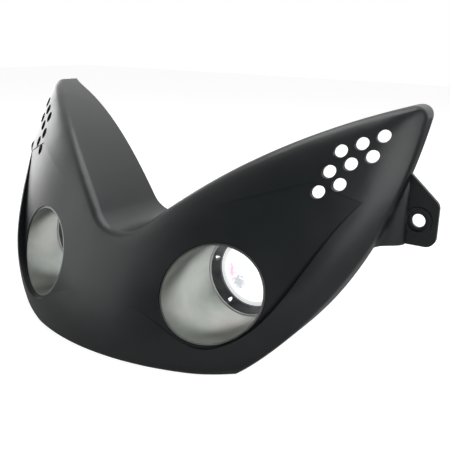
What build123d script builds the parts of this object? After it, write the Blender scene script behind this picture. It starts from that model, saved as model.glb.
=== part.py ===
from build123d import *
from math import ceil, cos, exp, hypot, radians, sin, sqrt
import os

# Twin headlight of a scooter or light motorbike: a moulded mask with two round lamps.
# The origin is midway between the two fixing holes, on the rear face of the ears.
# +X is to the rider's left, -Y points forwards and +Z up. All sizes are in millimetres.

os.makedirs("parts", exist_ok=True)

# Place of the lamps: the centre of each front glass, measured from the fixing line
LAMP_SPACING = 152.0
LAMP_FORWARD = 45.0
LAMP_DROP = 45.0

# Front surface of the mask, as a formula over the front view
NOSE_FORWARD = 68.2
NOSE_WIDTH = 25.0
SWEEP = 0.0888
SWEEP_CURVE = 0.00288
LEAN = 0.3586
LEAN_CURVE = 0.00226
TWIST = -0.00143
TOP_CROWN_WIDTH = 14.0
TOP_CROWN_DEPTH = 3.0
SIDE_CROWN_WIDTH = 17.0
SIDE_CROWN_DEPTH = 5.5
CHIN_CROWN_WIDTH = 16.0
CHIN_CROWN_DEPTH = 3.8
CHEEK_BULGE = (119.0, -7.0, 28.0, 38.0, 6.2)
CHIN_BULGE = (60.0, -35.0, 30.0, 15.0, 1.5)
SOCKET_MARGIN = 0.25
SOCKET_EDGE = ((10.0, -16.5), (50.0, -23.5), (76.0, -33.6), (99.0, -24.0), (119.0, 1.0), (150.0, 60.0))
SOCKET_TOP = ((120.0, 72.0), (60.0, 52.0), (10.0, 28.0))

# Outline of the mask in the front view, measured from the point between the lamps
NOTCH_Z = 15.7
BROW_X, BROW_Z = 86.6, 86.0
TIP_X, TIP_Z = 170.4, 120.8
SIDE_X, SIDE_Z = 160.1, 40.0
CHEEK_X, CHEEK_Z = 117.4, -31.5
CHIN_Z = -55.0
NOTCH_R = 32.0
TIP_R = 9.0
CHIN_R = 90.0

# Extent of the grid that the front surface is drawn through
GRID = 10.0
GRID_X = 190.0
GRID_LOW = 72.0
GRID_HIGH = 138.0
BLOCK_DEPTH = 220.0

# Shell
WALL = 2.4
EDGE_R = 8.0
REAR_DEPTH = 2.3
REAR_LEAN = 0.227
REAR_LEAN_CURVE = 0.0031
REAR_FLARE = 7.6
REAR_FLARE_WIDTH = 25.0

# Cooling holes in the horns
VENT_D = 8.0
VENT_X, VENT_Z = 151.8, 99.7
VENT_PITCH = 11.5
VENT_ROW_GAP = 9.9
VENT_STAGGER = 7.9
VENT_ANGLE = 24.2
VENT_ROWS = ((0, 3), (0, 3), (1, 3))

# Lamp tubes: radii from the lamp axis, depths from the front glass
TUBE_R = 31.9
TUBE_GAP = 0.4
LIP_T = 1.2
TUBE_STRAIGHT = 36.0
TUBE_END_R = 28.9
TUBE_END = 9.3
TUBE_REACH = 95.0
RIM_SINK = 0.5
SEAT = 9.0
FLANGE_R = 36.5
FLANGE_T = 2.5
COLLAR_GAP = 1.0
COLLAR_WALL = 2.0
COLLAR_END = 14.0

# Screws that hold tube and lamp ring to the mask
SCREW_CIRCLE_R = 40.0
SCREW_ANGLES = (90, 210, 330)
SCREW_R = 1.6
SCREW_LENGTH = 16.0
SCREW_HEAD_R = 3.6
SCREW_HEAD_H = 2.4
SCREW_SOCKET_R = 1.5
SCREW_SOCKET_DEPTH = 1.4
PILOT_DEPTH = 15.0
THREAD_FIT = 0.05
LUG_FIT = 0.4
BOSS_R = 5.2

# Lamp ring
RING_NOSE_R = 30.2
RING_FIT = 0.2
RING_NOSE_GAP = 0.1
LIP_R = 24.9
LIP_THICKNESS = 1.2
GASKET_T = 0.6
FINGER_T = 2.0
FINGER_END = 9.0
SEAT_FIT = 0.4
RING_VENTS = 5
RING_VENT_R = 1.6
RING_VENT_CIRCLE_R = 27.1
RING_VENT_START = 165.0
FINGER_SLOT = 13.0
CLIP_WIRE_R = 0.7
CLIP_SINK = 0.3
CLIP_FIT = 0.05
CLIP_OPENING = 40.0

# Halogen lamp
LAMP_R = 25.4
LAMP_RIM_T = 3.0
GLASS_R = 23.4
GLASS_T = 1.6
GLASS_SINK = 0.3
GLASS_FIT = 0.1
BOWL_R, BOWL_START = 24.2, 4.0
BOWL_CURVE = ((21.5, 14.0), (15.0, 23.5))
BOWL_WALL = 1.6
BOWL_DEPTH = 29.0
NECK_R = 8.6
BASE_W, BASE_H = 17.0, 11.0
BASE_END = 39.0
BASE_CORNER_R = 1.5
CAPSULE_R = 4.6
CAPSULE_FRONT = 12.0
PINCH_W, PINCH_T = 8.0, 3.0
CEMENT_GAP = 0.3
PIN_SPACING = 5.3
PIN_R = 0.75
PIN_LENGTH = 7.5
PINCH_SINK = 1.0

# Lamp holder on the pins
HOLDER_W, HOLDER_H, HOLDER_L = 19.0, 12.0, 16.0
CONTACT_R = 1.3
CONTACT_L = 10.0
LEAD_HOLE_R = 1.0

# Ears
EAR_T = 3.0
EAR_HOLE_X = 176.5
EAR_HOLE_R = 4.6
EAR_END_X = 189.2
EAR_ROOT_X = 167.5
EAR_TOP_Z = 77.0
EAR_TOP_CORNER_Z = 57.5
EAR_BOTTOM_Z = 28.0
EAR_CORNER_R = 7.0
EAR_BOSS_R = 9.2
EAR_BOSS_H = 1.5
EAR_RECESS_R = 7.2
EAR_RECESS_DEPTH = 2.2
WEB_T = 1.8
WEB_OVERLAP = 7.0
WEB_STOP = 5.0
WEB_DIP = 0.06
WEB_RIB = 0.09

LAMP_X = LAMP_SPACING / 2
LAMP_Y = -LAMP_FORWARD
LAMP_Z = -LAMP_DROP
FRONT = Plane(origin=(0, LAMP_Y, LAMP_Z), x_dir=(1, 0, 0), z_dir=(0, -1, 0))
APERTURE_R = TUBE_R + TUBE_GAP
COLLAR_R = APERTURE_R + COLLAR_GAP
RING_FRONT = RING_NOSE_GAP - TUBE_END
RING_FLANGE_FRONT = FLANGE_T - SEAT
RING_FLANGE_BACK = RING_FLANGE_FRONT + FLANGE_T
SEAT_BORE_R = LAMP_R + SEAT_FIT
CLIP_R = SEAT_BORE_R + CLIP_SINK - CLIP_WIRE_R / 2
CLIP_Y = LAMP_RIM_T + CLIP_WIRE_R + CLIP_FIT
GROOVE_DEPTH = CLIP_R + CLIP_WIRE_R + CLIP_FIT - SEAT_BORE_R
GLASS_BACK = GLASS_SINK + GLASS_T
CAPSULE_BACK = BOWL_DEPTH - BOWL_WALL - CEMENT_GAP
PINCH_END = BASE_END - PINCH_SINK
HOLDER_FRONT = BASE_END + CEMENT_GAP


def nose_blend(x):
    """Distance from the centre plane, rounded off over the nose."""
    return sqrt(x * x + NOSE_WIDTH**2) - NOSE_WIDTH


def circle_through(a, b, c):
    """Centre and radius of the circle through three points."""
    ax, ay = a
    bx, by = b[0] - ax, b[1] - ay
    cx, cy = c[0] - ax, c[1] - ay
    d = 2 * (bx * cy - by * cx)
    ux = (cy * (bx * bx + by * by) - by * (cx * cx + cy * cy)) / d
    uy = (bx * (cx * cx + cy * cy) - cx * (bx * bx + by * by)) / d
    return ax + ux, ay + uy, hypot(ux, uy)


TOP_ARC = circle_through((0, NOTCH_Z), (BROW_X, BROW_Z), (TIP_X, TIP_Z))
SIDE_ARC = circle_through((TIP_X, TIP_Z), (SIDE_X, SIDE_Z), (CHEEK_X, CHEEK_Z))


def inside_arc(arc, x, z):
    """Distance from a point to an arc of the outline, measured inwards."""
    cx, cz, r = arc
    return r - hypot(hypot(x, NOSE_WIDTH) - cx, z - cz)


def crown(x, z):
    """How far the surface falls back beside the top, side and chin edges."""
    edges = (
        (inside_arc(TOP_ARC, x, z), TOP_CROWN_WIDTH, TOP_CROWN_DEPTH),
        (inside_arc(SIDE_ARC, x, z), SIDE_CROWN_WIDTH, SIDE_CROWN_DEPTH),
        (z - CHIN_Z, CHIN_CROWN_WIDTH, CHIN_CROWN_DEPTH),
    )
    fall = 0.0
    for inside, width, depth in edges:
        near = max(0.0, width - inside) / width
        fall += depth * (near * near if near < 1 else 2 * near - 1)
    return fall


def bulge(x, z):
    """How far cheek and chin stand out in front of the eye sockets."""
    total = 0.0
    for centre_x, centre_z, spread_x, spread_z, height in (CHEEK_BULGE, CHIN_BULGE):
        across = (abs(x) - centre_x) / spread_x
        along = (z - centre_z) / spread_z
        total += height * exp(-(across * across + along * along) / 2)
    return total


def socket_y(x, z):
    """Depth of the mask's front as it would be without cheek and chin."""
    u = nose_blend(x)
    sweep = SWEEP * u + SWEEP_CURVE * u * u
    lean = LEAN * z + LEAN_CURVE * z * z
    return -NOSE_FORWARD + sweep + lean + TWIST * u * z + crown(x, z)


def front_y(x, z):
    """Depth of the mask's outer surface at a point of the front view."""
    return socket_y(x, z) - bulge(x, z)


def inset_y(x, z, inset):
    """The surface of the eye sockets moved inwards, square to itself, by inset."""
    h = 0.5
    slope_x = (socket_y(x + h, z) - socket_y(x - h, z)) / (2 * h)
    slope_z = (socket_y(x, z + h) - socket_y(x, z - h)) / (2 * h)
    return socket_y(x, z) + inset * sqrt(1 + slope_x**2 + slope_z**2)


def smooth_face(depth):
    """One smooth face, wider than the mask, through the depths that a formula gives."""
    xs = [x * GRID for x in range(-ceil(GRID_X / GRID), ceil(GRID_X / GRID) + 1)]
    zs = [z * GRID for z in range(-ceil(GRID_LOW / GRID), ceil(GRID_HIGH / GRID) + 1)]
    rows = [[Vector(x, LAMP_Y + depth(x, z), LAMP_Z + z) for x in xs] for z in zs]
    return Face.make_surface_from_array_of_points(rows, tol=0.05, min_deg=3)


def outline(inset):
    """Front-view outline of the mask: on each side the overlap of two discs, with a chin line."""
    top_x, top_z, top_r = TOP_ARC
    side_x, side_z, side_r = SIDE_ARC
    with BuildSketch(FRONT) as shape:
        with Locations((top_x, top_z)):
            Circle(top_r - inset)
        with Locations((side_x, side_z)):
            Circle(side_r - inset, mode=Mode.INTERSECT)
        with Locations((0, CHIN_Z + inset)):
            Rectangle(
                2 * side_r, 2 * side_r, align=(Align.MIN, Align.MIN), mode=Mode.INTERSECT
            )
        mirror(about=Plane.YZ)
        corners = shape.vertices().filter_by(lambda v: abs(v.X) > 1)
        fillet(corners.group_by(Axis.Y)[-1], TIP_R - inset)
        fillet(corners.group_by(Axis.Y)[0], CHIN_R - inset)
        middle = shape.vertices().filter_by(lambda v: abs(v.X) < 1)
        fillet(middle.sort_by(Axis.Y)[-1], NOTCH_R + inset)
    return shape.sketch


def half_block(inset):
    """Left half of the solid behind the front surface, with a rounded front edge."""
    depth = (lambda x, z: inset_y(x, z, inset)) if inset else front_y
    with BuildPart() as block:
        extrude(outline(inset), amount=BLOCK_DEPTH, both=True)
        split(bisect_by=smooth_face(depth), keep=Keep.TOP)
        front = block.faces().filter_by(GeomType.BSPLINE).sort_by(SortBy.AREA)[-1]
        fillet(front.edges(), EDGE_R - inset)
        split(bisect_by=Plane.YZ, keep=Keep.TOP)
    return block.part


def rear_y(x, z):
    """Depth of the mask's rear edge, which runs further back along the side wall."""
    near = max(0.0, 1 - inside_arc(SIDE_ARC, x, z) / REAR_FLARE_WIDTH)
    return REAR_DEPTH + REAR_LEAN * z + REAR_LEAN_CURVE * z * abs(z) + REAR_FLARE * near * near


def vent_places():
    """Centres of the cooling holes of the left horn, in the front view."""
    along = (cos(radians(VENT_ANGLE)), sin(radians(VENT_ANGLE)))
    for row, (first, end) in enumerate(VENT_ROWS):
        for column in range(first, end):
            step = column * VENT_PITCH
            shift = row * VENT_STAGGER
            drop = row * VENT_ROW_GAP
            x = VENT_X - (step + shift) * along[0] + drop * along[1]
            z = VENT_Z - (step + shift) * along[1] - drop * along[0]
            yield x, z


def screw_places():
    """Centres of the three screws round a lamp, seen from the lamp's axis."""
    return [
        (SCREW_CIRCLE_R * cos(radians(angle)), SCREW_CIRCLE_R * sin(radians(angle)))
        for angle in SCREW_ANGLES
    ]


def side_wall_x(z):
    """Outer face of the side wall at height z."""
    cx, cz, r = SIDE_ARC
    return cx + sqrt(r * r - (z - cz) ** 2)


def web_section(z):
    """Wavy section of the web that joins an ear to the side wall, at height z."""
    wall_x = side_wall_x(z) - WALL / 2
    wall = Vector(wall_x, rear_y(wall_x, z))
    root = Vector(EAR_ROOT_X + EAR_T / 3, LAMP_FORWARD - EAR_T / 2)
    reach = (root - wall).length
    wave = Edge.make_spline(
        [
            wall - Vector(0, WEB_OVERLAP),
            wall,
            wall + (root - wall) * 0.3 - Vector(WEB_DIP * reach, 0),
            wall + (root - wall) * 0.65 + Vector(WEB_RIB * reach, 0),
            root,
        ]
    )
    sides = []
    for side in (WEB_T / 2, -WEB_T / 2):
        steps = [step / 10 for step in range(11)]
        sides.append([wave @ t + (wave % t).rotate(Axis.Z, 90) * side for t in steps])
    plane = Plane(origin=(0, LAMP_Y, LAMP_Z + z), x_dir=(1, 0, 0), z_dir=(0, 0, 1))
    with BuildSketch(plane) as section:
        with BuildLine():
            near = Spline(*sides[0])
            far = Spline(*sides[1])
            Line(near @ 0, far @ 0)
            Line(near @ 1, far @ 1)
        make_face()
    return section.sketch


def ear():
    """Fixing ear on the rider's left: wavy web, flat plate, raised seat and hole."""
    top = EAR_TOP_Z - WEB_STOP
    with BuildPart() as part:
        loft([web_section(z) for z in (EAR_BOTTOM_Z, (EAR_BOTTOM_Z + top) / 2, top)])
        plate = Plane(origin=(0, 0, LAMP_Z), x_dir=(1, 0, 0), z_dir=(0, -1, 0))
        with BuildSketch(plate) as shape:
            with BuildLine():
                Polyline(
                    (EAR_ROOT_X, EAR_BOTTOM_Z),
                    (EAR_END_X, EAR_BOTTOM_Z),
                    (EAR_END_X, EAR_TOP_CORNER_Z),
                    (EAR_ROOT_X, EAR_TOP_Z),
                    close=True,
                )
            make_face()
            fillet(shape.vertices().group_by(Axis.X)[-1], EAR_CORNER_R)
        extrude(amount=EAR_T)
        with BuildSketch(Plane.XZ.offset(EAR_T)):
            with Locations((EAR_HOLE_X, 0)):
                Circle(EAR_BOSS_R)
        extrude(amount=EAR_BOSS_H)
        with BuildSketch(Plane.XZ.offset(EAR_T + EAR_BOSS_H)):
            with Locations((EAR_HOLE_X, 0)):
                Circle(EAR_RECESS_R)
        extrude(amount=-EAR_RECESS_DEPTH, mode=Mode.SUBTRACT)
        with BuildSketch(Plane.XZ):
            with Locations((EAR_HOLE_X, 0)):
                Circle(EAR_HOLE_R)
        extrude(amount=EAR_T, mode=Mode.SUBTRACT)
    return part.part


def socket_cut():
    """What is cut away above the crease, so that cheek and chin stand proud of the eye."""
    with BuildSketch(FRONT) as region:
        with BuildLine():
            Spline(*SOCKET_EDGE)
            Polyline(SOCKET_EDGE[-1], *SOCKET_TOP, SOCKET_EDGE[0])
        make_face()
    with BuildPart() as cut:
        extrude(region.sketch, amount=BLOCK_DEPTH, both=True)
        split(
            bisect_by=smooth_face(lambda x, z: socket_y(x, z) - SOCKET_MARGIN),
            keep=Keep.BOTTOM,
        )
    return cut.part


def lamp_supports():
    """Collar and screw bosses behind the left lamp opening, from shell to their ends."""
    with BuildPart() as supports:
        with BuildSketch(FRONT.offset(COLLAR_END)):
            with Locations((LAMP_X, 0)):
                Circle(COLLAR_R + COLLAR_WALL)
                Circle(COLLAR_R, mode=Mode.SUBTRACT)
        extrude(amount=BLOCK_DEPTH)
        with BuildSketch(FRONT.offset(SEAT)):
            with Locations(*[(LAMP_X + x, z) for x, z in screw_places()]):
                Circle(BOSS_R)
        extrude(amount=BLOCK_DEPTH)
        with BuildSketch(FRONT.offset(SEAT)):
            with Locations(*[(LAMP_X + x, z) for x, z in screw_places()]):
                Circle(SCREW_R + THREAD_FIT)
        extrude(amount=PILOT_DEPTH, mode=Mode.SUBTRACT)
        split(bisect_by=smooth_face(lambda x, z: inset_y(x, z, WALL / 2)), keep=Keep.TOP)
    return supports.part


with BuildPart() as mask_shell:
    add(half_block(0))
    split(bisect_by=smooth_face(rear_y), keep=Keep.BOTTOM)
    add(half_block(WALL), mode=Mode.SUBTRACT)
    add(socket_cut(), mode=Mode.SUBTRACT)
    with BuildSketch(FRONT):
        with Locations((LAMP_X, 0)):
            Circle(APERTURE_R)
        with Locations(*vent_places()):
            Circle(VENT_D / 2)
    extrude(amount=BLOCK_DEPTH, both=True, mode=Mode.SUBTRACT)
    add(lamp_supports())
    add(ear())
    mirror(about=Plane.YZ)
mask_shell.part.label = "mask_shell"
export_step(mask_shell.part, "parts/mask_shell.step")

for side, x in (("left", LAMP_X), ("right", -LAMP_X)):
    front = Plane(origin=(x, LAMP_Y, LAMP_Z), x_dir=(1, 0, 0), z_dir=(0, -1, 0))
    half = Plane(origin=(x, LAMP_Y, LAMP_Z), x_dir=(1, 0, 0), z_dir=(0, 0, 1))
    axis = Axis((x, LAMP_Y, LAMP_Z), (0, 1, 0))

    with BuildPart() as tube:
        with BuildSketch(half):
            with BuildLine():
                straight = Line((TUBE_R - LIP_T, -TUBE_REACH), (TUBE_R - LIP_T, -TUBE_STRAIGHT))
                taper = TangentArc(straight @ 1, (TUBE_END_R, -TUBE_END), tangent=straight % 1)
                Polyline(
                    taper @ 1,
                    (RING_NOSE_R + RING_FIT, -TUBE_END),
                    (RING_NOSE_R + RING_FIT, FLANGE_T - SEAT),
                    (FLANGE_R, FLANGE_T - SEAT),
                    (FLANGE_R, -SEAT),
                    (TUBE_R, -SEAT),
                    (TUBE_R, -TUBE_REACH),
                    straight @ 0,
                )
            make_face()
        revolve(axis=axis)
        split(bisect_by=smooth_face(lambda x, z: socket_y(x, z) + RIM_SINK), keep=Keep.TOP)
        with BuildSketch(front.offset(SEAT - FLANGE_T)):
            with Locations(*screw_places()):
                Circle(BOSS_R)
        extrude(amount=FLANGE_T)
        with BuildSketch(front.offset(SEAT)):
            with Locations(*screw_places()):
                Circle(SCREW_R + LUG_FIT)
        extrude(amount=-FLANGE_T, mode=Mode.SUBTRACT)
    tube.part.label = side + "_reflector_tube"
    export_step(tube.part, "parts/" + side + "_reflector_tube.step")

    with BuildPart() as ring:
        with BuildSketch(half):
            with BuildLine():
                Polyline(
                    (TUBE_END_R, RING_FRONT),
                    (RING_NOSE_R, RING_FRONT),
                    (RING_NOSE_R, RING_FLANGE_FRONT),
                    (FLANGE_R, RING_FLANGE_FRONT),
                    (FLANGE_R, RING_FLANGE_BACK),
                    (SEAT_BORE_R + FINGER_T, RING_FLANGE_BACK),
                    (SEAT_BORE_R + FINGER_T, FINGER_END),
                    (SEAT_BORE_R, FINGER_END),
                    (SEAT_BORE_R, -GASKET_T),
                    (LIP_R, -GASKET_T),
                    (LIP_R, -GASKET_T - LIP_THICKNESS),
                    close=True,
                )
            make_face()
            with Locations((SEAT_BORE_R, CLIP_Y)):
                Rectangle(2 * GROOVE_DEPTH, 2 * CLIP_WIRE_R + RING_FIT, mode=Mode.SUBTRACT)
        revolve(axis=axis)
        with BuildSketch(front):
            with PolarLocations(RING_VENT_CIRCLE_R, RING_VENTS, start_angle=RING_VENT_START):
                Rectangle(2 * FINGER_T, FINGER_SLOT)
        extrude(amount=-FINGER_END, mode=Mode.SUBTRACT)
        with BuildSketch(front):
            with PolarLocations(RING_VENT_CIRCLE_R, RING_VENTS, start_angle=RING_VENT_START):
                Circle(RING_VENT_R)
        extrude(amount=SEAT + FLANGE_T, mode=Mode.SUBTRACT)
        with BuildSketch(front.offset(-RING_FLANGE_BACK)):
            with Locations(*screw_places()):
                Circle(BOSS_R)
        extrude(amount=FLANGE_T)
        with BuildSketch(front.offset(-RING_FLANGE_BACK)):
            with Locations(*screw_places()):
                Circle(SCREW_R + LUG_FIT)
        extrude(amount=FLANGE_T, mode=Mode.SUBTRACT)
    ring.part.label = side + "_lamp_ring"
    export_step(ring.part, "parts/" + side + "_lamp_ring.step")

    with BuildPart() as gasket:
        with BuildSketch(front):
            Circle(SEAT_BORE_R - RING_FIT)
            Circle(LIP_R, mode=Mode.SUBTRACT)
        extrude(amount=GASKET_T)
    gasket.part.label = side + "_lamp_gasket"
    export_step(gasket.part, "parts/" + side + "_lamp_gasket.step")

    with BuildPart() as bowl:
        with BuildSketch(half):
            with BuildLine():
                Polyline((0, 0), (LAMP_R, 0), (LAMP_R, LAMP_RIM_T), (BOWL_R, BOWL_START))
                Spline((BOWL_R, BOWL_START), *BOWL_CURVE, (NECK_R, BOWL_DEPTH))
                Polyline((NECK_R, BOWL_DEPTH), (0, BOWL_DEPTH), (0, 0))
            make_face()
        revolve(axis=axis)
        with BuildSketch(half):
            inner = [(r - BOWL_WALL, y) for r, y in ((BOWL_R, BOWL_START), *BOWL_CURVE)]
            with BuildLine():
                Polyline(
                    (0, 0),
                    (GLASS_R + GLASS_FIT, 0),
                    (GLASS_R + GLASS_FIT, GLASS_BACK),
                    (inner[0][0], GLASS_BACK),
                    inner[0],
                )
                Spline(*inner, (NECK_R - BOWL_WALL, BOWL_DEPTH - BOWL_WALL))
                Polyline(
                    (NECK_R - BOWL_WALL, BOWL_DEPTH - BOWL_WALL),
                    (0, BOWL_DEPTH - BOWL_WALL),
                    (0, 0),
                )
            make_face()
        revolve(axis=axis, mode=Mode.SUBTRACT)
        with BuildSketch(front.offset(-BASE_END)):
            Rectangle(BASE_W, BASE_H)
        extrude(amount=BASE_END - BOWL_DEPTH + BOWL_WALL / 2)
        fillet(bowl.edges().filter_by(Axis.Y).group_by(SortBy.LENGTH)[-1], BASE_CORNER_R)
        with BuildSketch(front.offset(-BASE_END)):
            Rectangle(PINCH_W + 2 * CEMENT_GAP, PINCH_T + 2 * CEMENT_GAP)
        extrude(amount=BASE_END - BOWL_DEPTH + 2 * BOWL_WALL, mode=Mode.SUBTRACT)
    bowl.part.label = side + "_lamp_bowl"
    export_step(bowl.part, "parts/" + side + "_lamp_bowl.step")

    with BuildPart() as glass:
        with BuildSketch(front.offset(-GLASS_BACK)):
            Circle(GLASS_R)
        extrude(amount=GLASS_T)
        fillet(glass.faces().sort_by(Axis.Y)[0].edges(), GLASS_T / 3)
    glass.part.label = side + "_lamp_glass"
    export_step(glass.part, "parts/" + side + "_lamp_glass.step")

    with BuildPart() as capsule:
        with BuildSketch(front.offset(-CAPSULE_FRONT)):
            Circle(CAPSULE_R)
        extrude(amount=CAPSULE_FRONT - CAPSULE_BACK)
        fillet(capsule.faces().sort_by(Axis.Y)[0].edges(), CAPSULE_R * 0.8)
        with BuildSketch(front.offset(-CAPSULE_BACK)):
            Rectangle(PINCH_W, PINCH_T)
        extrude(amount=CAPSULE_BACK - PINCH_END)
    capsule.part.label = side + "_lamp_capsule"
    export_step(capsule.part, "parts/" + side + "_lamp_capsule.step")

    with BuildPart() as pins:
        with BuildSketch(front.offset(-PINCH_END)):
            with GridLocations(PIN_SPACING, 0, 2, 1):
                Circle(PIN_R)
        extrude(amount=-PIN_LENGTH)
        fillet(pins.faces().sort_by(Axis.Y)[-2:].edges(), PIN_R / 2)
    pins.part.label = side + "_lamp_pins"
    export_step(pins.part, "parts/" + side + "_lamp_pins.step")

    with BuildPart() as holder:
        with BuildSketch(front.offset(-HOLDER_FRONT)):
            Rectangle(HOLDER_W, HOLDER_H)
        extrude(amount=-HOLDER_L)
        fillet(holder.edges().filter_by(Axis.Y), BASE_CORNER_R)
        chamfer(holder.faces().sort_by(Axis.Y)[-1].edges(), BASE_CORNER_R / 2)
        with BuildSketch(front.offset(-HOLDER_FRONT)):
            with GridLocations(PIN_SPACING, 0, 2, 1):
                Circle(LEAD_HOLE_R)
        extrude(amount=-HOLDER_L, mode=Mode.SUBTRACT)
        with BuildSketch(front.offset(-HOLDER_FRONT)):
            with GridLocations(PIN_SPACING, 0, 2, 1):
                Circle(CONTACT_R + THREAD_FIT)
        extrude(amount=-CONTACT_L, mode=Mode.SUBTRACT)
    holder.part.label = side + "_lamp_holder"
    export_step(holder.part, "parts/" + side + "_lamp_holder.step")

    with BuildPart() as contacts:
        with BuildSketch(front.offset(-HOLDER_FRONT)):
            with GridLocations(PIN_SPACING, 0, 2, 1):
                Circle(CONTACT_R)
                Circle(PIN_R + THREAD_FIT, mode=Mode.SUBTRACT)
        extrude(amount=-CONTACT_L)
    contacts.part.label = side + "_holder_contacts"
    export_step(contacts.part, "parts/" + side + "_holder_contacts.step")

    with BuildPart() as clip:
        turn = radians(90 - CLIP_OPENING / 2)
        start = Plane(
            origin=(x, LAMP_Y, LAMP_Z),
            x_dir=(cos(turn), 0, sin(turn)),
            z_dir=(-sin(turn), 0, cos(turn)),
        )
        with BuildSketch(start):
            with Locations((CLIP_R, CLIP_Y)):
                Circle(CLIP_WIRE_R)
        revolve(axis=axis, revolution_arc=360 - CLIP_OPENING)
    clip.part.label = side + "_retaining_clip"
    export_step(clip.part, "parts/" + side + "_retaining_clip.step")

    with BuildPart() as screws:
        with BuildSketch(front.offset(-RING_FLANGE_BACK)):
            with Locations(*screw_places()):
                Circle(SCREW_R)
        extrude(amount=SCREW_LENGTH)
        with BuildSketch(front.offset(-RING_FLANGE_BACK)):
            with Locations(*screw_places()):
                Circle(SCREW_HEAD_R)
        extrude(amount=-SCREW_HEAD_H)
        with BuildSketch(front.offset(-RING_FLANGE_BACK - SCREW_HEAD_H)):
            with Locations(*screw_places()):
                RegularPolygon(SCREW_SOCKET_R, 6)
        extrude(amount=SCREW_SOCKET_DEPTH, mode=Mode.SUBTRACT)
    screws.part.label = side + "_tube_screws"
    export_step(screws.part, "parts/" + side + "_tube_screws.step")
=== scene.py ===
from math import cos, pi, radians, sin

import bpy
from mathutils import Matrix, Vector


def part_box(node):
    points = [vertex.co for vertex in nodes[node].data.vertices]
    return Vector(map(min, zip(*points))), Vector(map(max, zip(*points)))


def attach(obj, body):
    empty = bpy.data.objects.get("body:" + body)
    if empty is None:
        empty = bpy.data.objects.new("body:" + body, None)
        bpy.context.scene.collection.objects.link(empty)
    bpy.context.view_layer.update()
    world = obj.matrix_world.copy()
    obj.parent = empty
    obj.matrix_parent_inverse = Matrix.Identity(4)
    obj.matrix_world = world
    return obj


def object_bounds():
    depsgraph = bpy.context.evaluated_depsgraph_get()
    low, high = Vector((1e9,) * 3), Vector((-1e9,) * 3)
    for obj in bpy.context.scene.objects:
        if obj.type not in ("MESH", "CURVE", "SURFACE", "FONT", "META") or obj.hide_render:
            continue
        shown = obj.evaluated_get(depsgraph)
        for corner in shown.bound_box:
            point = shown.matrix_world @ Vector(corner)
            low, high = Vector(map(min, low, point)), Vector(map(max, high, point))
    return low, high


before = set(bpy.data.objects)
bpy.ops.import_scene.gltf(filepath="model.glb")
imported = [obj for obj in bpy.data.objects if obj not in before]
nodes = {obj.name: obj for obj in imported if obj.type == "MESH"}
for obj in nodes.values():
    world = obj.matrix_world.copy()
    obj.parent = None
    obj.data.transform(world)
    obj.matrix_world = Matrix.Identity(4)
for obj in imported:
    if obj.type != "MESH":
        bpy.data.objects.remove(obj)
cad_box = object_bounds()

# Camera of the photograph, fitted to the rims, cooling holes and outline of the mask
CAMERA_PLACE = (0.2890, -0.4251, 0.1142)
CAMERA_RIGHT = (0.8454, 0.5334, 0.0241)
CAMERA_UP = (-0.1673, 0.2216, 0.9607)
CAMERA_BACK = (0.5071, -0.8163, 0.2766)
CAMERA_LENS = 52.56
CAMERA_NEAR = 0.01
SENSOR = 36.0

# Smoothing of the CAD nodes: how close points are joined, and the angle of a sharp edge
WELD_REACH = 0.000001
SHARP_ANGLE = 28

# Depth of the grain of metal and of glass, in metres
METAL_GRAIN = 0.000006
GLASS_GRAIN = 0.000002

# A face belongs to the lip of a tube, which is darkened as painted shade, where its normal's Y lies
# below these
LIP_NORMAL = (-0.9, -0.6)

# Faceted mirror of each lamp: radius and depth from the lamp's front, in metres
MIRROR = (
    (0.0224, 0.0021),
    (0.0223, 0.0046),
    (0.0197, 0.0139),
    (0.0133, 0.0232),
    (0.0071, 0.0270),
)
FACET_ROWS = 9
FACET_COLUMNS = 30
FACET_CUTS = 3
FACET_SWELL = 0.00018

# Flat rims of each lamp, which take the glowing coat as a painted highlight: inner and outer
# radius, and depth from the lamp's front
RIM_OUTER = 0.02485
LAMP_RIMS = ((0.02345, RIM_OUTER, -0.00003), (0.0218, 0.02338, 0.00027))
RIM_STEPS = 96

# Painted light of the lamps: their mirror coat glows, and streaks are painted on it, a grey painted
# shade and a rose painted reflection: centre from the corner of the facets' box, reach, and colour
PAINTED_LAMP_GLOW = 0.62
COAT_PATCH = 0.012
STREAK_GRAIN = 0.0022
STREAK_EDGE = (0.3, 1.15)
STREAK_SHARE = 0.9
# Painted streaks on the glowing coat: the grey one is painted shade, the rose one a painted
# reflection
PAINTED_STREAKS = (
    ((0.0092, 0.0100, 0.0112), (0.0070, 0.0070, 0.0062), (0.40, 0.41, 0.43)),
    ((0.0042, 0.0080, 0.0205), (0.0036, 0.0045, 0.0075), (0.95, 0.42, 0.52)),
)

# Bead at the inner end of each tube: its radius, its depth before the lamp's front, its wire
BEAD_R = 0.0291
BEAD_DEPTH = 0.0093
BEAD_WIRE_R = 0.0010
BEAD_STEPS = 8

# Floor, and the grey of the room as a source of light
FLOOR_GAP = 0.0005
FLOOR_SIZE = 6.0
FLOOR_GREY = 0.42
FLOOR_GLOW = 0.88
ROOM_GREY = 0.14

# The room in mirrors: white towards the backdrop, and this grey at the front
BACKDROP_SIDE = (-0.75, 0.62, 0.2)
BACKDROP_EDGE = (-0.3, 0.6)
FRONT_GREY = 0.12

scene = bpy.context.scene


def link(tree, *ends):
    """Joins pairs of sockets: output, input, output, input and so on."""
    for out, into in zip(ends[::2], ends[1::2]):
        tree.links.new(out, into)


def new_material(name):
    """A material with only a Principled shader, its tree and its object coordinates."""
    material = bpy.data.materials.new(name)
    material.use_nodes = True
    tree = material.node_tree
    shader = tree.nodes["Principled BSDF"]
    place = tree.nodes.new("ShaderNodeTexCoord").outputs["Object"]
    return material, tree, shader, place


def noise(tree, place, size, detail=3.0, rough=0.5):
    """A noise texture whose features are about size metres wide."""
    texture = tree.nodes.new("ShaderNodeTexNoise")
    texture.inputs["Scale"].default_value = 1 / size
    texture.inputs["Detail"].default_value = detail
    texture.inputs["Roughness"].default_value = rough
    tree.links.new(place, texture.inputs["Vector"])
    return texture.outputs["Fac"]


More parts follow.
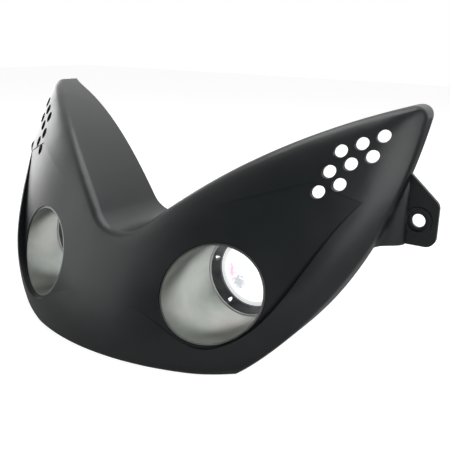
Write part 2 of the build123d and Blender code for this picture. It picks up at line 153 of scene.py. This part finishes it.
def spread(tree, value, low, high, start=0.3, end=0.7):
    """The value from start to end, spread over low to high."""
    node = tree.nodes.new("ShaderNodeMapRange")
    node.inputs["From Min"].default_value = start
    node.inputs["From Max"].default_value = end
    node.inputs["To Min"].default_value = low
    node.inputs["To Max"].default_value = high
    tree.links.new(value, node.inputs["Value"])
    return node.outputs["Result"]


def blend(tree, value, dark, light):
    """A colour between dark and light, by value."""
    node = tree.nodes.new("ShaderNodeMix")
    node.data_type = "RGBA"
    node.inputs[6].default_value = (*dark, 1)
    node.inputs[7].default_value = (*light, 1)
    tree.links.new(value, node.inputs[0])
    return node.outputs[2]


def over(tree, share, under, colour):
    """The colour laid over another by share."""
    node = tree.nodes.new("ShaderNodeMix")
    node.data_type = "RGBA"
    node.inputs[7].default_value = (*colour, 1)
    link(tree, share, node.inputs[0], under, node.inputs[6])
    return node.outputs[2]


def bump(tree, height, depth):
    """A bump of that depth in metres."""
    node = tree.nodes.new("ShaderNodeBump")
    node.inputs["Distance"].default_value = depth
    tree.links.new(height, node.inputs["Height"])
    return node.outputs["Normal"]


def mottled(
    name, dark, light, rough, metallic=0.0, patch=0.02, grain=0.0004, depth=0.00002, **fixed
):
    """A finish with broad patches of colour and roughness and a fine grain.

    Sizes are in metres, rough is a range, and fixed holds values for other sockets.
    """
    material, tree, shader, place = new_material(name)
    patches = noise(tree, place, patch)
    grains = noise(tree, place, grain, 2.0, 0.6)
    link(tree, blend(tree, spread(tree, patches, 0, 1), dark, light), shader.inputs["Base Color"])
    link(tree, spread(tree, patches, *rough), shader.inputs["Roughness"])
    link(tree, bump(tree, grains, depth), shader.inputs["Normal"])
    shader.inputs["Metallic"].default_value = metallic
    for socket, value in fixed.items():
        shader.inputs[socket.replace("_", " ")].default_value = value
    return material


def finish_node(name, material):
    """A CAD node gets its material, and smooth shading between its sharp edges."""
    obj = nodes[name]
    obj.data.materials.clear()
    obj.data.materials.append(material)
    for polygon in obj.data.polygons:
        polygon.use_smooth = True
    weld = obj.modifiers.new("weld", "WELD")
    weld.merge_threshold = WELD_REACH
    split = obj.modifiers.new("sharp", "EDGE_SPLIT")
    split.split_angle = radians(SHARP_ANGLE)


def painted_lip_shade(material, colour):
    """The thin faces that look forwards take a darker colour: painted shade on the tube's lip."""
    tree = material.node_tree
    base = tree.nodes["Principled BSDF"].inputs["Base Color"]
    parts = tree.nodes.new("ShaderNodeSeparateXYZ")
    link(tree, tree.nodes.new("ShaderNodeTexCoord").outputs["Normal"], parts.inputs[0])
    share = spread(tree, parts.outputs["Y"], 1.0, 0.0, *LIP_NORMAL)
    link(tree, over(tree, share, base.links[0].from_socket, colour), base)


mask_plastic = mottled(
    "mask_plastic",
    (0.0052, 0.0068, 0.0074),
    (0.0072, 0.0090, 0.0096),
    (0.30, 0.36),
    patch=0.03,
    grain=0.0005,
    depth=0.00001,
)
tube_paint = mottled(
    "tube_paint",
    (0.35, 0.37, 0.335),
    (0.52, 0.53, 0.49),
    (0.28, 0.34),
    metallic=0.9,
    patch=0.024,
    depth=METAL_GRAIN,
)
# The tube's lip is darkened in its colour: painted shade
painted_lip_shade(tube_paint, (0.24, 0.25, 0.24))
bead_metal = mottled(
    "bead_metal",
    (0.62, 0.62, 0.60),
    (0.75, 0.75, 0.74),
    (0.3, 0.4),
    metallic=0.6,
    patch=0.01,
    depth=METAL_GRAIN,
)
ring_metal = mottled(
    "ring_metal",
    (0.12, 0.125, 0.13),
    (0.19, 0.195, 0.20),
    (0.28, 0.38),
    metallic=0.8,
    patch=0.008,
    depth=METAL_GRAIN,
)
gasket_rubber = mottled("gasket_rubber", (0.01, 0.01, 0.01), (0.02, 0.02, 0.02), (0.6, 0.75))
bowl_mirror = mottled(
    "bowl_mirror", (0.85, 0.85, 0.86), (0.95, 0.95, 0.96), (0.05, 0.12), metallic=0.9, patch=0.01
)
holder_ceramic = mottled("holder_ceramic", (0.55, 0.52, 0.46), (0.68, 0.65, 0.58), (0.5, 0.7))
plain_steel = mottled(
    "plain_steel", (0.42, 0.42, 0.43), (0.58, 0.58, 0.6), (0.28, 0.40), metallic=1.0
)
brass = mottled(
    "contact_brass", (0.5, 0.36, 0.13), (0.66, 0.5, 0.22), (0.28, 0.40), metallic=1.0
)
lamp_glass = mottled(
    "lamp_glass",
    (0.97, 0.98, 1.0),
    (1.0, 1.0, 1.0),
    (0.02, 0.05),
    depth=GLASS_GRAIN,
    Transmission_Weight=1.0,
    IOR=1.5,
)
capsule_quartz = mottled(
    "capsule_quartz",
    (0.97, 0.98, 1.0),
    (1.0, 1.0, 1.0),
    (0.03, 0.08),
    depth=GLASS_GRAIN,
    Transmission_Weight=1.0,
    IOR=1.46,
)

finish_node("mask_shell", mask_plastic)
for side in ("left", "right"):
    finish_node(side + "_reflector_tube", tube_paint)
    finish_node(side + "_lamp_ring", ring_metal)
    finish_node(side + "_lamp_gasket", gasket_rubber)
    finish_node(side + "_lamp_bowl", bowl_mirror)
    finish_node(side + "_lamp_glass", lamp_glass)
    finish_node(side + "_lamp_capsule", capsule_quartz)
    finish_node(side + "_lamp_pins", plain_steel)
    finish_node(side + "_lamp_holder", holder_ceramic)
    finish_node(side + "_holder_contacts", brass)
    finish_node(side + "_retaining_clip", plain_steel)
    finish_node(side + "_tube_screws", plain_steel)


def painted_streak(tree, place, centre, reach, ragged):
    """The share of one painted streak on the mirror coat: full in an ellipsoid, with a ragged soft
    edge, and zero outside.
    """
    offset = tree.nodes.new("ShaderNodeVectorMath")
    offset.operation = "SUBTRACT"
    offset.inputs[1].default_value = centre
    scale = tree.nodes.new("ShaderNodeVectorMath")
    scale.operation = "DIVIDE"
    scale.inputs[1].default_value = reach
    length = tree.nodes.new("ShaderNodeVectorMath")
    length.operation = "LENGTH"
    total = tree.nodes.new("ShaderNodeMath")
    link(
        tree,
        place, offset.inputs[0],
        offset.outputs[0], scale.inputs[0],
        scale.outputs[0], length.inputs[0],
        length.outputs["Value"], total.inputs[0],
        spread(tree, ragged, -0.5, 0.5), total.inputs[1],
    )
    return spread(tree, total.outputs[0], STREAK_SHARE, 0.0, *STREAK_EDGE)


def painted_glow_coat():
    """The mirror coat of a lamp, made to glow as painted light: white, with a grey painted shade
    and a rose painted reflection as streaks between its facets.
    """
    material, tree, shader, place = new_material("painted_glow_coat")
    spot = tree.nodes.new("ShaderNodeVectorMath")
    spot.operation = "MULTIPLY"
    spot.inputs[1].default_value = (2 * RIM_OUTER, MIRROR[-1][1], 2 * RIM_OUTER)
    tree.links.new(place.node.outputs["Generated"], spot.inputs[0])
    local = spot.outputs[0]
    fine = noise(tree, place, STREAK_GRAIN, 3.0, 0.6)
    patches = spread(tree, noise(tree, place, COAT_PATCH), 0, 1)
    coat = blend(tree, patches, (0.93, 0.95, 0.97), (1.0, 1.0, 1.0))
    # Lay the painted shade and painted reflection streaks over the coat
    for centre, reach, colour in PAINTED_STREAKS:
        coat = over(tree, painted_streak(tree, local, centre, reach, fine), coat, colour)
    link(tree, coat, shader.inputs["Base Color"], coat, shader.inputs["Emission Color"])
    shader.inputs["Metallic"].default_value = 0.3
    shader.inputs["Roughness"].default_value = 0.15
    shader.inputs["Emission Strength"].default_value = PAINTED_LAMP_GLOW
    return material


def bowl_profile(t):
    """Radius and depth of the mirror, from its front at t = 0 to its neck at t = 1."""
    step = t * (len(MIRROR) - 1)
    k = min(int(step), len(MIRROR) - 2)
    near = MIRROR[max(k - 1, 0)], MIRROR[k], MIRROR[k + 1], MIRROR[min(k + 2, len(MIRROR) - 1)]
    f = step - k
    out = []
    for axis in (0, 1):
        a, b, c, d = (point[axis] for point in near)
        start, end, rise = (c - a) / 2, (d - b) / 2, c - b
        square = 3 * rise - 2 * start - end
        cube = start + end - 2 * rise
        out.append(b + f * (start + f * (square + f * cube)))
    return out


def facet_points(a0, a1, t0, t1):
    """One pillow-shaped facet: a grid of points about the lamp axis, in metres."""
    for j in range(FACET_CUTS + 1):
        for i in range(FACET_CUTS + 1):
            u, v = i / FACET_CUTS, j / FACET_CUTS
            radius, depth = bowl_profile(t0 + (t1 - t0) * v)
            radius -= FACET_SWELL * 16 * u * (1 - u) * v * (1 - v)
            angle = a0 + (a1 - a0) * u
            yield radius * cos(angle), depth, radius * sin(angle)


def new_piece(name, verts, faces, material):
    """A smooth piece of the object, made from points and faces."""
    mesh = bpy.data.meshes.new(name)
    mesh.from_pydata(verts, [], faces)
    for polygon in mesh.polygons:
        polygon.use_smooth = True
    mesh.materials.append(material)
    piece = bpy.data.objects.new(name, mesh)
    scene.collection.objects.link(piece)
    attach(piece, "root")


def lamp_front(side):
    """The centre of one lamp's front."""
    low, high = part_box(side + "_lamp_bowl")
    return (low[0] + high[0]) / 2, low[1], (low[2] + high[2]) / 2


def lamp_facets(side, material):
    """The faceted mirror coat inside one lamp bowl, with the lamp's rims; both glow as painted
    light.
    """
    cx, cy, cz = lamp_front(side)
    turn = 2 * pi / FACET_COLUMNS
    verts, faces = [], []
    for row in range(FACET_ROWS):
        for column in range(FACET_COLUMNS):
            start = len(verts)
            angle = (column + row % 2 / 2) * turn
            grid = facet_points(angle, angle + turn, row / FACET_ROWS, (row + 1) / FACET_ROWS)
            verts += [(cx + x, cy + y, cz + z) for x, y, z in grid]
            for j in range(FACET_CUTS):
                for i in range(FACET_CUTS):
                    k = start + j * (FACET_CUTS + 1) + i
                    faces.append((k, k + 1, k + FACET_CUTS + 2, k + FACET_CUTS + 1))
    for inner, outer, depth in LAMP_RIMS:
        start = len(verts)
        for k in range(RIM_STEPS):
            angle = 2 * pi * k / RIM_STEPS
            for radius in (inner, outer):
                verts.append((cx + radius * cos(angle), cy + depth, cz + radius * sin(angle)))
            here, after = start + 2 * k, start + 2 * ((k + 1) % RIM_STEPS)
            faces.append((here, here + 1, after + 1, after))
    new_piece(side + "_lamp_facets", verts, faces, material)


def tube_bead(side, material):
    """The rolled bead at the inner end of a lamp tube."""
    cx, cy, cz = lamp_front(side)
    cy -= BEAD_DEPTH
    verts, faces = [], []
    for k in range(RIM_STEPS):
        angle = 2 * pi * k / RIM_STEPS
        row, next_row = k * BEAD_STEPS, (k + 1) % RIM_STEPS * BEAD_STEPS
        for j in range(BEAD_STEPS):
            turn = 2 * pi * j / BEAD_STEPS
            radius = BEAD_R + BEAD_WIRE_R * cos(turn)
            y = cy + BEAD_WIRE_R * sin(turn)
            verts.append((cx + radius * cos(angle), y, cz + radius * sin(angle)))
            after = (j + 1) % BEAD_STEPS
            faces.append((row + j, row + after, next_row + after, next_row + j))
    new_piece(side + "_tube_bead", verts, faces, material)


# The lamps' mirror coat glows: painted light for their white look, with painted reflection and
# shade as streaks
facet_coat = painted_glow_coat()
for side in ("left", "right"):
    lamp_facets(side, facet_coat)
    tube_bead(side, bead_metal)


def softbox(name, place, target, width, height, power, mirrored=True):
    """A rectangular lamp with soft light, turned towards its target, in metres and watts."""
    data = bpy.data.lights.new(name, "AREA")
    data.shape = "RECTANGLE"
    data.size = width
    data.size_y = height
    data.energy = power
    lamp = bpy.data.objects.new(name, data)
    lamp.location = place
    lamp.rotation_euler = (Vector(target) - Vector(place)).to_track_quat("-Z", "Y").to_euler()
    lamp.visible_glossy = mirrored
    scene.collection.objects.link(lamp)


softbox("key_left", (-0.9, -0.85, 0.3), (0, -0.05, 0), 0.9, 1.0, 3.2)
softbox("back_left", (-1.15, 0.45, 0.0), (-0.1, -0.02, 0), 0.9, 0.9, 7.5)
softbox("top", (0.0, 0.15, 1.1), (0, -0.03, 0), 1.0, 0.8, 7)
softbox("rim_right", (1.15, -0.15, 0.45), (0.1, -0.02, 0), 0.7, 0.8, 4.5)
softbox("front_fill", (0.66, -1.2, 0.42), (0, -0.05, 0), 0.5, 0.5, 5, mirrored=False)
softbox("side_fill", (1.2, -0.7, 0.1), (0, -0.05, 0), 0.5, 0.5, 9, mirrored=False)

floor_mesh = bpy.data.meshes.new("floor")
floor_z = cad_box[0][2] - FLOOR_GAP
half = FLOOR_SIZE / 2
corners = [(x, y, floor_z) for x, y in ((-half, -half), (half, -half), (half, half), (-half, half))]
floor_mesh.from_pydata(corners, [], [(0, 1, 2, 3)])
floor = bpy.data.objects.new("floor", floor_mesh)
scene.collection.objects.link(floor)


def largest(tree, *values):
    """The largest of the values."""
    total = values[0]
    for value in values[1:]:
        node = tree.nodes.new("ShaderNodeMath")
        node.operation = "MAXIMUM"
        link(tree, total, node.inputs[0], value, node.inputs[1])
        total = node.outputs[0]
    return total


def mixed(tree, share, first, second):
    """First shader where share is zero, second where it is one."""
    node = tree.nodes.new("ShaderNodeMixShader")
    link(tree, share, node.inputs[0], first, node.inputs[1], second, node.inputs[2])
    return node.outputs[0]


def glow(tree, kind, strength, grey=1.0):
    """A plain emission or background of that strength, which may be a socket."""
    node = tree.nodes.new(kind)
    node.inputs["Color"].default_value = (grey, grey, grey, 1)
    if isinstance(strength, float):
        node.inputs["Strength"].default_value = strength
    else:
        tree.links.new(strength, node.inputs["Strength"])
    return node.outputs[0]


# The floor is pale, and pure white to the camera except for a faint shadow
floor_paint, tree, shader, _ = new_material("floor_paint")
shader.inputs["Base Color"].default_value = (FLOOR_GREY, FLOOR_GREY, FLOOR_GREY, 1)
shader.inputs["Roughness"].default_value = 0.9
shader.inputs["Specular IOR Level"].default_value = 0.1
rays = tree.nodes.new("ShaderNodeLightPath").outputs
both = tree.nodes.new("ShaderNodeAddShader")
shine = glow(tree, "ShaderNodeEmission", FLOOR_GLOW)
link(tree, shader.outputs[0], both.inputs[0], shine, both.inputs[1])
seen = largest(tree, rays["Is Camera Ray"], rays["Is Transmission Ray"])
surface = mixed(tree, seen, shader.outputs[0], both.outputs[0])
link(tree, surface, tree.nodes["Material Output"].inputs["Surface"])
floor_mesh.materials.append(floor_paint)

# The room is white to the camera; shiny finishes see its white backdrop and its dimmer front
world = bpy.data.worlds.new("studio")
world.use_nodes = True
scene.world = world
tree = world.node_tree
tree.nodes.remove(tree.nodes["Background"])
rays = tree.nodes.new("ShaderNodeLightPath").outputs
towards = tree.nodes.new("ShaderNodeVectorMath")
towards.operation = "DOT_PRODUCT"
towards.inputs[1].default_value = BACKDROP_SIDE
link(tree, tree.nodes.new("ShaderNodeTexCoord").outputs["Generated"], towards.inputs[0])
walls = spread(tree, towards.outputs["Value"], FRONT_GREY, 1.0, *BACKDROP_EDGE)
lit = glow(tree, "ShaderNodeBackground", 1.0, ROOM_GREY)
mirrored = glow(tree, "ShaderNodeBackground", walls)
white = glow(tree, "ShaderNodeBackground", 1.0)
shiny = largest(tree, rays["Is Glossy Ray"], rays["Is Transmission Ray"])
surface = mixed(tree, rays["Is Camera Ray"], mixed(tree, shiny, lit, mirrored), white)
link(tree, surface, tree.nodes["World Output"].inputs["Surface"])

camera_data = bpy.data.cameras.new("camera")
camera_data.lens = CAMERA_LENS
camera_data.sensor_width = SENSOR
camera_data.clip_start = CAMERA_NEAR
camera = bpy.data.objects.new("camera", camera_data)
scene.collection.objects.link(camera)
turn = Matrix((CAMERA_RIGHT, CAMERA_UP, CAMERA_BACK)).transposed().to_4x4()
camera.matrix_world = Matrix.Translation(CAMERA_PLACE) @ turn
scene.camera = camera
scene.view_settings.view_transform = "Standard"
